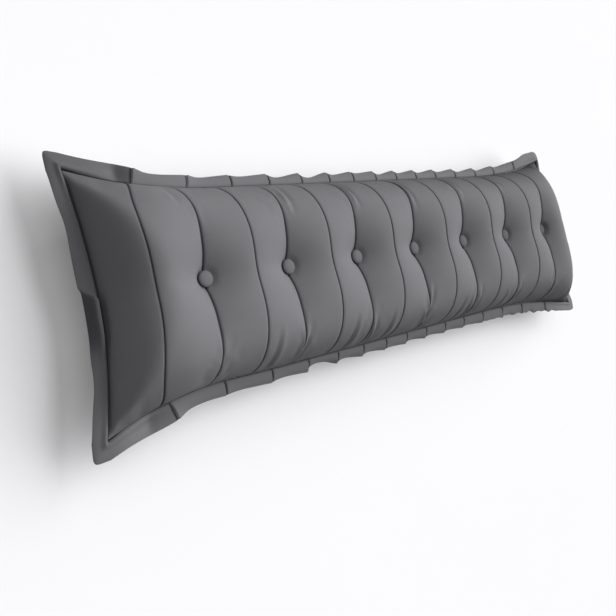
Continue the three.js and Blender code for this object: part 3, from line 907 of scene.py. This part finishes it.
def short_folds(s, from_bottom, from_top):
    """Height of the short folds beside the border: each is a ridge and a trough side by side.

    Across a fold the height is the distance a from its middle line times e to the minus a squared, scaled to
    a peak of one, and along it a half wave of the sine.
    """
    place = s * SEAM_HALF_LENGTH
    relief = np.zeros(np.broadcast_shapes(s.shape, from_top.shape))
    peak = math.sqrt(1 / 2) * math.exp(-1 / 2)
    for fold in FOLDS:
        distance = from_top if fold.edge > 0 else from_bottom
        along = part_way(distance / MM, fold.near, fold.far)
        offset = fold.near_offset + (fold.far_offset - fold.near_offset) * along
        across = (place - fold.seam * SEAM_PITCH - offset * MM) / (fold.half_width * MM)
        relief -= fold.height * MM * across * bell(across) / peak * np.sin(np.pi * along)
    return relief


def row_shares(count):
    """Shares of the half height at grid lines that crowd towards both edges: the sine of even steps."""
    return np.sin(np.pi / 2 * np.linspace(-1, 1, count))


def held_shares(s, t):
    """How firmly the settling cloth is held: fully at edge and buttons, less at seams, little elsewhere."""
    aside, above = from_button(s, t)
    beside = beside_nearest(s * SEAM_HALF_LENGTH, SEAMS)
    held = np.full(np.broadcast_shapes(s.shape, t.shape), HELD_OPEN)
    held[:, np.abs(beside)[0] < HELD_SEAM_REACH] = HELD_SEAM
    held[:, np.abs(aside)[0] < HELD_SEAM_REACH] = HELD_BUTTONED_SEAM
    held[np.hypot(aside, above) < HELD_BUTTON_REACH] = 1
    held[[0, -1], :] = 1
    held[:, [0, -1]] = 1
    return held


def settle_share(t):
    """Share of the settling that shows: most at the bottom edge, less at the top one, little on the crest."""
    low = SETTLE_BOTTOM * np.clip(-t, 0, 1) ** SETTLE_POWER
    high = SETTLE_TOP * np.clip(t, 0, 1) ** SETTLE_POWER
    return SETTLE_CREST + low + high


def settled_cloth(sizes, start, held):
    """Points of a grid of cloth after Blender's cloth simulation, in which the filling pushes it out.

    The cloth is cut a little larger than its grid and held there by shares, so it puckers where it is held.
    """
    scene = bpy.context.scene
    mesh = bpy.data.meshes.new("settling_cloth")
    mesh.from_pydata(start.reshape(-1, 3).tolist(), [], grid_quads(*held.shape).tolist())
    cloth = bpy.data.objects.new("settling_cloth", mesh)
    scene.collection.objects.link(cloth)
    group = cloth.vertex_groups.new(name="held")
    for share in np.unique(held):
        group.add(np.flatnonzero(held == share).tolist(), float(share), "REPLACE")
    modifier = cloth.modifiers.new("settle", "CLOTH")
    settings = modifier.settings
    for setting, value in CLOTH_FEEL.items():
        setattr(settings, setting, value)
    settings.vertex_group_mass = group.name
    settings.shrink_min = -sizes.settle_excess
    settings.use_pressure = True
    settings.uniform_pressure_force = sizes.settle_pressure
    settings.effector_weights.gravity = 0
    modifier.collision_settings.use_collision = False
    for step in range(1, sizes.settle_frames + 1):
        scene.frame_set(step)
    settled = np.empty(start.size, dtype=np.float32)
    cloth.evaluated_get(bpy.context.evaluated_depsgraph_get()).data.vertices.foreach_get("co", settled)
    scene.frame_set(1)
    bpy.data.objects.remove(cloth)
    bpy.data.meshes.remove(mesh)
    return settled.reshape(start.shape)


def settled_shift(sizes, s, t):
    """How far the cloth of the face moves from its large forms as it settles, for places at shares s and t.

    Each move is capped, and the share of it that shows changes up the face.
    """
    columns = sizes.settle_columns
    rows = sizes.settle_rows
    grid_s = np.linspace(-1, 1, columns)[None, :]
    grid_t = row_shares(rows)[:, None]
    start = face_points(sizes, grid_s, grid_t)
    shift = settled_cloth(sizes, start, held_shares(grid_s, grid_t)) - start
    far = np.linalg.norm(shift, axis=-1, keepdims=True)
    shift = shift * np.minimum(1, sizes.settle_cap / np.maximum(far, TINY))
    shift = shift * settle_share(grid_t)[..., None]
    column = (s + 1) / 2 * (columns - 1)
    row = (np.arcsin(np.clip(t, -1, 1)) / np.pi + 1 / 2) * (rows - 1)
    return grid_values(shift, row, column)


class PILLOW_OT_cover(Operator):
    """Makes the filled body: its settled strip-pieced face with seams and short folds, and a plain back"""

    bl_idname = "pillow.cover"
    bl_label = "Pillow cover"

    def execute(self, context):
        sizes = context.scene.pillow_body
        ends = np.concatenate([[-SEAM_HALF_LENGTH], SEAMS, [SEAM_HALF_LENGTH]])
        cloth_place = stretches(ends, sizes.columns_per_strip, STRIP_CROWDING)[None, :]
        cloth_s = cloth_place / SEAM_HALF_LENGTH
        t = row_shares(sizes.rows)[:, None]
        s = bowed(cloth_s, t)
        face = face_points(sizes, s, t)
        up = path_length(face, 0)
        down = up[-1:] - up
        groove, seam_painted_shadow = seam_grooves(sizes, cloth_s, t)
        relief = short_folds(s, up, down) - groove
        face = face + settled_shift(sizes, s, t)
        face = face + surface_normals(face) * relief[..., None]
        back = back_points(sizes, s[::2, ::2], t[::2])

        rows, columns = face.shape[:2]
        back_rows, back_columns = back.shape[:2]
        layer = rows * columns
        back_faces = grid_quads(back_rows, back_columns, layer)[:, ::-1]
        edge = edge_triangles(rim_places(rows, columns), rim_places(back_rows, back_columns) + layer)
        faces = grid_quads(rows, columns).tolist() + back_faces.tolist() + edge.tolist()
        points = np.concatenate([face.reshape(-1, 3), back.reshape(-1, 3)])
        face_lay = stacked(cloth_place, up)
        lay = np.concatenate([face_lay.reshape(-1, 2), back[..., :2].reshape(-1, 2)])
        # Painted shade of the face: shadows in the seams, painted shade over it, and painted light below
        # nought
        dark = np.clip(seam_painted_shadow + face_shade(sizes, s, t, np.minimum(up, down)), LIGHTEST, 1)
        crease = np.concatenate([dark.ravel(), np.zeros(back_rows * back_columns)])
        cloth = woven_cloth("pillow_cloth", context.scene.pillow_cloth)
        cover = make_piece("pillow_cover", points, faces, lay, crease, cloth)
        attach(cover, BODY)
        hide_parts("pillow_body")
        return {"FINISHED"}


# Shape of the border

# Places along the edge seam, with the strip's values there: the last nine are nought unless they are given
# The root, shade and tuck line values are shares of painted shade
Stations = namedtuple(
    "Stations",
    "x y lean width lip root shade out_x out_y tuck slant crease valley tip_x tip_y buckle",
    defaults=[0] * 9,
)


def tuck_places(side):
    """Places of the tucks along a long side: an even pitch, a share that grows with the cube, and shifts."""
    number = np.arange(-TUCKS_EACH_SIDE, TUCKS_EACH_SIDE + 1)
    shift = np.array([LONG_SIDES[side].tuck_shifts.get(tuck, 0) for tuck in number.tolist()])
    return TUCK_PITCH * number + TUCK_SPREAD * number**3 + shift * MM


def tuck_profile(sizes, beside):
    """Height of a tuck beside its edge: the upper cloth eases down to a groove and the cloth under it."""
    upper = sizes.tuck_rise * np.exp(np.minimum(beside - TUCK_STEP_START, 0) / TUCK_RUN)
    lower = -sizes.tuck_drop * np.exp(-np.maximum(beside - TUCK_STEP_END, 0) / TUCK_RUN)
    down = eased(part_way(beside, TUCK_STEP_START, TUCK_STEP_END))
    return upper * (1 - down) + lower * down - TUCK_GROOVE * bell(beside / TUCK_LINE)


def tuck_columns(sizes, side, tucks, place):
    """Relief, slant and painted shadow line of the tucks at places along a long side, the last two on bell
    curves.
    """
    over = np.ones(len(tucks))
    slants = np.full(len(tucks), LONG_SIDES[side].slant)
    for odd in ODD_TUCKS:
        if odd.side == side:
            over[odd.number + TUCKS_EACH_SIDE] = -1
            slants[odd.number + TUCKS_EACH_SIDE] = odd.slant * MM
    nearest = np.abs(place[:, None] - tucks).argmin(axis=-1)
    beside = (place - tucks[nearest]) * over[nearest]
    growth = 1 + RIGHT_TUCK_GROWTH * part_way(place, 0, SEAM_HALF_LENGTH)
    line = np.where(over[nearest] > 0, TUCK_LINE, ODD_TUCK_LINE) * growth
    return {
        "tuck": tuck_profile(sizes, beside) * growth * LONG_SIDES[side].tuck_share,
        "slant": slants[nearest] * bell(beside / SLANT_REACH),
        "crease": bell((beside - TUCK_LINE_PLACE) / line),
    }


def long_side_lean(side, ends, place):
    """Lean of a long side in degrees: in each stretch a blend of its ends plus a half wave of the sine."""
    edge = LONG_SIDES[side]
    at_ends = np.array([CORNERS[-1, side].lean, *edge.at_tucks, CORNERS[1, side].lean])
    halfway = np.array(edge.between)
    stretch = np.clip(np.searchsorted(ends, place, side="right") - 1, 0, len(halfway) - 1)
    share = (place - ends[stretch]) / np.diff(ends)[stretch]
    first = at_ends[stretch]
    last = at_ends[stretch + 1]
    swell = np.sin(np.pi * share**DIP_SKEW) ** edge.dip_power
    return first + (last - first) * share + (halfway[stretch] - (first + last) / 2) * swell


def long_side_stretch(side, place, near_right):
    """How much wider a long side is: bell curves at its first and last stretch, and crinkles.

    The crinkles are the mean of two sines, which grow to the right and end before the corner.
    """
    edge = LONG_SIDES[side]
    first = edge.first_stretch * bell((place - FIRST_STRETCH_PLACE) / FIRST_STRETCH_REACH)
    last = edge.last_stretch * bell((place - LAST_STRETCH_PLACE) / LAST_STRETCH_REACH)
    crinkled = part_way(place, CRINKLE_START, CRINKLE_FULL) * (1 - near_right)
    turn = 2 * np.pi * place / CRINKLE_PITCH
    crinkle = edge.crinkle * crinkled * (np.sin(turn) + np.sin(turn * CRINKLE_OVERTONE)) / 2
    return first + last + crinkle


def long_side(sizes, side):
    """Stations of a long side from left to right, with its tucks and the soft valley before the first."""
    edge = LONG_SIDES[side]
    left = CORNERS[-1, side]
    right = CORNERS[1, side]
    tucks = tuck_places(side)
    ends = np.concatenate([[-SEAM_HALF_LENGTH], tucks, [SEAM_HALF_LENGTH]])
    place = stretches(ends, sizes.places_per_stretch, STRETCH_CROWDING)
    from_left = place + SEAM_HALF_LENGTH
    from_right = SEAM_HALF_LENGTH - place
    near_left = nearness(from_left, CORNER_REACH)
    near_right = nearness(from_right, CORNER_REACH)
    width = blended(sizes.width, left.long_width, right.long_width, near_left, near_right)
    from_valley = place - edge.soft_valley
    valley = np.exp(-np.abs(from_valley) / SOFT_VALLEY_RUN)
    at_end = math.exp(-(SEAM_HALF_LENGTH + edge.soft_valley) / SOFT_VALLEY_RUN)
    in_valley = smooth_step(from_valley / SOFT_VALLEY_EDGE) * (place < tucks[0])
    plain_root = LONG_SIDE_ROOT * (1 - edge.lost_root * (1 - smooth_step(from_valley / LOST_ROOT_RUN)))
    at_corners = nearness(from_left, LEFT_ROOT_REACH) + nearness(from_right, RIGHT_ROOT_REACH)
    x, y = plan_point(place / SEAM_HALF_LENGTH, np.full_like(place, side))
    return Stations(
        x=x,
        y=y,
        out_y=side,
        lean=np.radians(long_side_lean(side, ends, place)),
        width=width + long_side_stretch(side, place, near_right),
        lip=blended(LONG_SIDE_LIP, left.lip, right.lip, near_left, near_right),
        # Painted shadow at the root, and painted shade in the soft valley and near the left corner
        root=plain_root + (1 - plain_root) * at_corners,
        shade=edge.valley_shade * in_valley + left.shade * nearness(from_left, left.shade_reach),
        valley=-SOFT_VALLEY_DEPTH * np.clip(valley - at_end, 0, 1),
        **tuck_columns(sizes, side, tucks, place),
    )


def short_side(sizes, end):
    """Stations of a short side from bottom to top, with the corners left out.

    The left one is narrower on two bell curves, has painted shade, and has the buckle.
    """
    at_left = 1 if end < 0 else 0
    bottom = CORNERS[end, -1]
    top = CORNERS[end, 1]
    t = np.linspace(-1, 1, sizes.places_up_side + 2)[1:-1]
    steps = SHORT_SIDE_LEAN[end]
    places = np.linspace(-1, 1, 2 * len(steps) + 1)[1::2]
    lean = np.interp(t, [-1, *places, 1], [bottom.lean, *steps, top.lean])
    near_bottom = nearness((t + 1) * SEAM_HALF_HEIGHT, CORNER_REACH / 2)
    near_top = nearness((1 - t) * SEAM_HALF_HEIGHT, CORNER_REACH / 2)
    width = blended(sizes.width, bottom.short_width, top.short_width, near_bottom, near_top)
    narrower = LEFT_NARROWING * bell((np.abs(t) - LEFT_NARROW_PLACE) / LEFT_NARROW_REACH)
    x, y = plan_point(np.full_like(t, end), t)
    return Stations(
        x=x,
        y=y,
        out_x=end,
        lean=np.radians(lean),
        width=width - at_left * narrower,
        lip=blended(SHORT_SIDE_LIP, bottom.lip, top.lip, near_bottom, near_top),
        root=1,
        shade=blended(at_left * LEFT_SHADE, bottom.shade, top.shade, near_bottom, near_top),
        buckle=at_left,
    )


def corner_fan(end, side):
    """Stations that turn the corner from a long side to a short one, their directions on a squared circle."""
    corner = CORNERS[end, side]
    turn = np.linspace(0, np.pi / 2, CORNER_PLACES + 1)[1:]
    x, y = plan_point(np.full_like(turn, end), np.full_like(turn, side))
    share_x = np.sin(turn) ** (2 / corner.squareness)
    share_y = np.clip(np.cos(turn), 0, 1) ** (2 / corner.squareness)
    return Stations(
        x=x,
        y=y,
        out_x=end * corner.short_width / corner.long_width * share_x,
        out_y=side * share_y,
        lean=math.radians(corner.lean),
        width=corner.long_width,
        lip=corner.lip,
        root=1,
        shade=corner.shade,
        tip_x=end * corner.tip_x * share_x * share_y,
        tip_y=side * corner.tip_y * share_x * share_y,
    )


def border_stations(sizes):
    """Stations all round the border, anticlockwise from the bottom left corner, each value as a column."""
    sides = [
        (long_side(sizes, -1), 1),
        (corner_fan(1, -1), 1),
        (short_side(sizes, 1), 1),
        (corner_fan(1, 1), -1),
        (long_side(sizes, 1), -1),
        (corner_fan(-1, 1), 1),
        (short_side(sizes, -1), -1),
        (corner_fan(-1, -1), -1),
    ]
    rows = [stacked(*side)[::step] for side, step in sides]
    return Stations(*np.concatenate(rows).T[..., None])


def buckle_share(y, v):
    """Share of the left border's buckle: between a sharp slanting fold and a soft end."""
    below_top = smooth_step((BUCKLE_TOP + BUCKLE_TOP_SLANT * v - y) / BUCKLE_TOP_RUN)
    above_bottom = smooth_step((y - BUCKLE_BOTTOM) / BUCKLE_BOTTOM_RUN)
    return below_top * above_bottom


def border_points(sizes, at, v, upper, buckle):
    """Points of the strip at shares v of its width, on its upper cloth (1) or its lower one (-1).

    From the seam the strip runs along an arc, whose angle grows evenly to its bend. Each cloth lies half a
    thickness off that arc, and both are lifted by tucks, valley, buckle and lip.
    """
    bulge = np.sin(np.pi * v**BULGE_SKEW).clip(0) ** BULGE_POWER
    half = sizes.root_half_thickness * (1 - v) + sizes.half_thickness * bulge
    bend = np.where(np.abs(at.lean) < LEAST_BEND, LEAST_BEND, 2 * at.lean)
    angle = bend * v
    reach = at.width * np.sin(angle) / bend - BUCKLE_DRAW_IN * buckle * v
    drop = at.width * (1 - np.cos(angle)) / bend
    tent = np.minimum(v / BUCKLE_RIDGE, (1 - v) / (1 - BUCKLE_RIDGE))
    tuck = at.tuck * part_way(v, 0, TUCK_ROOT)
    folds = tuck + at.valley * np.sin(np.pi * v) + BUCKLE_HEIGHT * buckle * tent
    lift = upper * half + folds + at.lip * bell((v - LIP_MIDDLE) / LIP_SPREAD)
    out = BORDER_GAP + reach + lift * np.sin(angle)
    x = at.x + at.out_x * out + (at.slant + at.tip_x) * v
    y = at.y + at.out_y * out + at.tip_y * v
    level = SEAM_LEVEL - drop + lift * np.cos(angle)
    return stacked(x, y, level)


def border_shade(at, v, buckle):
    """Painted shade of the strip: the painted shade of its stations, the painted shadow lines of its tucks, a
    painted shadow at its root on a bell curve, and painted shade on the cloth below the buckle's ridge, which
    is itself left lighter.
    """
    line = at.crease * part_way(v, 0, TUCK_LINE_ROOT)
    root = at.root * bell(v / ROOT_LINE)
    under_ridge = BUCKLE_SHADE * buckle * smooth_step((v - BUCKLE_SHADE_START) / BUCKLE_SHADE_RUN)
    on_ridge = buckle * bell((v - BUCKLE_RIDGE) / BUCKLE_LIGHT_SPREAD)
    return np.clip(line + at.shade * (1 - on_ridge) + under_ridge + root, 0, 1)


class PILLOW_OT_border(Operator):
    """Makes the border strip with its tucks, waves, rounded corners and buckle"""

    bl_idname = "pillow.border"
    bl_label = "Pillow border"

    def execute(self, context):
        sizes = context.scene.pillow_border
        at = border_stations(sizes)
        steps = np.linspace(0, 1, sizes.section_steps + 1)
        outward = (1 - np.cos(np.pi * steps)) / 2
        v = np.concatenate([outward, outward[-2::-1]])[None, :]
        upper = np.repeat([1, -1], [len(outward), len(outward) - 1])[None, :]
        buckle = at.buckle * buckle_share(at.y, v)
        points = border_points(sizes, at, v, upper, buckle)
        places, section = points.shape[:2]
        index = np.arange(places * section).reshape(places, section)
        beside = np.roll(index, -1, axis=1)
        corners = [index, beside, np.roll(beside, -1, axis=0), np.roll(index, -1, axis=0)]
        quads = np.stack(corners, axis=-1).reshape(-1, 4)
        round_about = path_length(points[:, :1], 0)
        lay = stacked(round_about, v * sizes.width).reshape(-1, 2)
        crease = border_shade(at, v, buckle).ravel()
        cloth = woven_cloth("border_cloth", context.scene.pillow_cloth)
        border = make_piece("border_strip", points.reshape(-1, 3), quads.tolist(), lay, crease, cloth)
        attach(border, BODY)
        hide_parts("border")
        return {"FINISHED"}


# Covered buttons


def button_surface(sizes, middle):
    """A covered button: a profile turned about its axis, with fine gathers round the rim.

    The profile is a quarter ellipse from the underside to the rim and a soft dome from the rim to the top.
    """
    low = np.linspace(0, np.pi / 2, BUTTON_LOW_STEPS, endpoint=False)
    high = np.linspace(0, np.pi / 2, BUTTON_HIGH_STEPS, endpoint=False)
    turn = np.linspace(0, 2 * np.pi, BUTTON_PLACES_ROUND, endpoint=False)
    radius = np.concatenate([BUTTON_FOOT + (1 - BUTTON_FOOT) * np.sin(low), np.cos(high) ** BUTTON_RIM_POWER])
    dome = sizes.rim_height + sizes.dome_height * np.sin(high) ** BUTTON_DOME_POWER
    height = np.concatenate([sizes.rim_height * (1 - np.cos(low)), dome])
    gather = np.concatenate([np.ones(len(low)), np.cos(high) ** BUTTON_GATHER_POWER])
    swing = sizes.pleat_depth * gather[:, None] * np.cos(sizes.pleats * turn)[None, :]
    spread = (BUTTON_RADIUS - sizes.drawn_in) * radius[:, None] + swing - sizes.pleat_depth
    x = middle.x + spread * np.cos(turn)
    y = middle.y + spread * np.sin(turn)
    level = middle.z + height[:, None]
    rings = stacked(x, y, level)
    top_level = middle.z + sizes.rim_height + sizes.dome_height
    poles = [[middle.x, middle.y, middle.z], [middle.x, middle.y, top_level]]
    points = np.concatenate([rings.reshape(-1, 3), poles])

    index = np.arange(spread.size).reshape(spread.shape)
    beside = np.roll(index, -1, axis=1)
    quads = np.stack([index[:-1], beside[:-1], beside[1:], index[1:]], axis=-1).reshape(-1, 4)
    bottom = np.stack([beside[0], index[0], np.full_like(turn, spread.size, dtype=int)], axis=-1)
    top = np.stack([index[-1], beside[-1], np.full_like(turn, spread.size + 1, dtype=int)], axis=-1)
    return points, quads.tolist() + bottom.tolist() + top.tolist()


class PILLOW_OT_buttons(Operator):
    """Makes the row of cloth-covered buttons"""

    bl_idname = "pillow.buttons"
    bl_label = "Pillow buttons"

    def execute(self, context):
        sizes = context.scene.pillow_buttons
        cloth = woven_cloth("button_cloth", context.scene.pillow_cloth)
        for node, shade in zip(BUTTON_NODES, BUTTON_SHADES):
            low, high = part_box(node)
            middle = Vector(((low.x + high.x) / 2, (low.y + high.y) / 2, low.z))
            points, faces = button_surface(sizes, middle)
            # Painted shade: a shadow up the left of the rim, and at least the button's own painted shade
            below_shade = 1 - (points[:, 2] - low.z) / sizes.rim_shade_height
            crease = np.clip(below_shade * left_rim_share(points[:, 0] - middle.x), shade, 1)
            button = make_piece(f"{node}_cover", points, faces, points[:, :2], crease, cloth)
            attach(button, BODY)
            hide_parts(node)
        return {"FINISHED"}


# Stage


def distant_light(name, direction, strength, spread):
    """A soft light from far away that comes from a direction."""
    light = bpy.data.lights.new(name, "SUN")
    light.energy = strength
    light.angle = spread
    light.color = LIGHT_COLOUR
    lamp = bpy.data.objects.new(name, light)
    lamp.rotation_euler = direction.to_track_quat("Z", "Y").to_euler()
    bpy.context.scene.collection.objects.link(lamp)


class PILLOW_OT_stage(Operator):
    """Makes the pale floor, the soft studio light and the camera"""

    bl_idname = "pillow.stage"
    bl_label = "Stage"

    def execute(self, context):
        look = context.scene.pillow_stage
        mesh = bpy.data.meshes.new("floor")
        corners = [(-1, -1), (1, -1), (1, 1), (-1, 1)]
        points = [(FLOOR_HALF * a, FLOOR_HALF * b, CAD_LOW.z - FLOOR_DROP) for a, b in corners]
        mesh.from_pydata(points, [], [(0, 1, 2, 3)])
        mesh.materials.append(pale_floor(look))
        floor = bpy.data.objects.new("floor", mesh)
        context.scene.collection.objects.link(floor)

        world = bpy.data.worlds.new("studio")
        world.use_nodes = True
        background = world.node_tree.nodes["Background"]
        background.inputs["Color"].default_value = WHITE
        background.inputs["Strength"].default_value = look.room_light
        context.scene.world = world
        distant_light("key", KEY_DIRECTION, look.key_strength, look.key_spread)
        distant_light("fill", FILL_DIRECTION, look.fill_strength, look.fill_spread)

        data = bpy.data.cameras.new("camera")
        data.lens = CAMERA_LENS
        data.sensor_width = CAMERA_SENSOR
        camera = bpy.data.objects.new("camera", data)
        level = (CAMERA_TARGET - CAMERA_PLACE).to_track_quat("-Z", "Y").to_matrix()
        turned = level @ Matrix.Rotation(CAMERA_ROLL, 3, "Z")
        camera.matrix_world = Matrix.Translation(CAMERA_PLACE) @ turned.to_4x4()
        context.scene.collection.objects.link(camera)
        context.scene.camera = camera
        context.scene.view_settings.view_transform = "Standard"
        return {"FINISHED"}


class PILLOW_PT_panel(Panel):
    """Lists the pillow's pieces and their settings"""

    bl_idname = "PILLOW_PT_panel"
    bl_label = "Back support pillow"
    bl_space_type = "VIEW_3D"
    bl_region_type = "UI"
    bl_category = "Pillow"

    def draw(self, context):
        for operator in OPERATORS:
            self.layout.operator(operator.bl_idname)
        for name, group in SETTINGS.items():
            box = self.layout.box()
            for prop in group.__annotations__:
                box.prop(getattr(context.scene, name), prop)


OPERATORS = (PILLOW_OT_stage, PILLOW_OT_cover, PILLOW_OT_border, PILLOW_OT_buttons)
SETTINGS = {
    "pillow_cloth": ClothLook,
    "pillow_body": BodySizes,
    "pillow_border": BorderSizes,
    "pillow_buttons": ButtonSizes,
    "pillow_stage": StageLook,
}
CLASSES = (*SETTINGS.values(), *OPERATORS, PILLOW_PT_panel)


def register():
    for cls in CLASSES:
        bpy.utils.register_class(cls)
    for name, group in SETTINGS.items():
        setattr(bpy.types.Scene, name, PointerProperty(type=group))


def unregister():
    for name in SETTINGS:
        delattr(bpy.types.Scene, name)
    for cls in reversed(CLASSES):
        bpy.utils.unregister_class(cls)


def main():
    """Registers the add-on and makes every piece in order."""
    register()
    bpy.ops.pillow.stage()
    bpy.ops.pillow.cover()
    bpy.ops.pillow.border()
    bpy.ops.pillow.buttons()


if __name__ == "__main__":
    main()
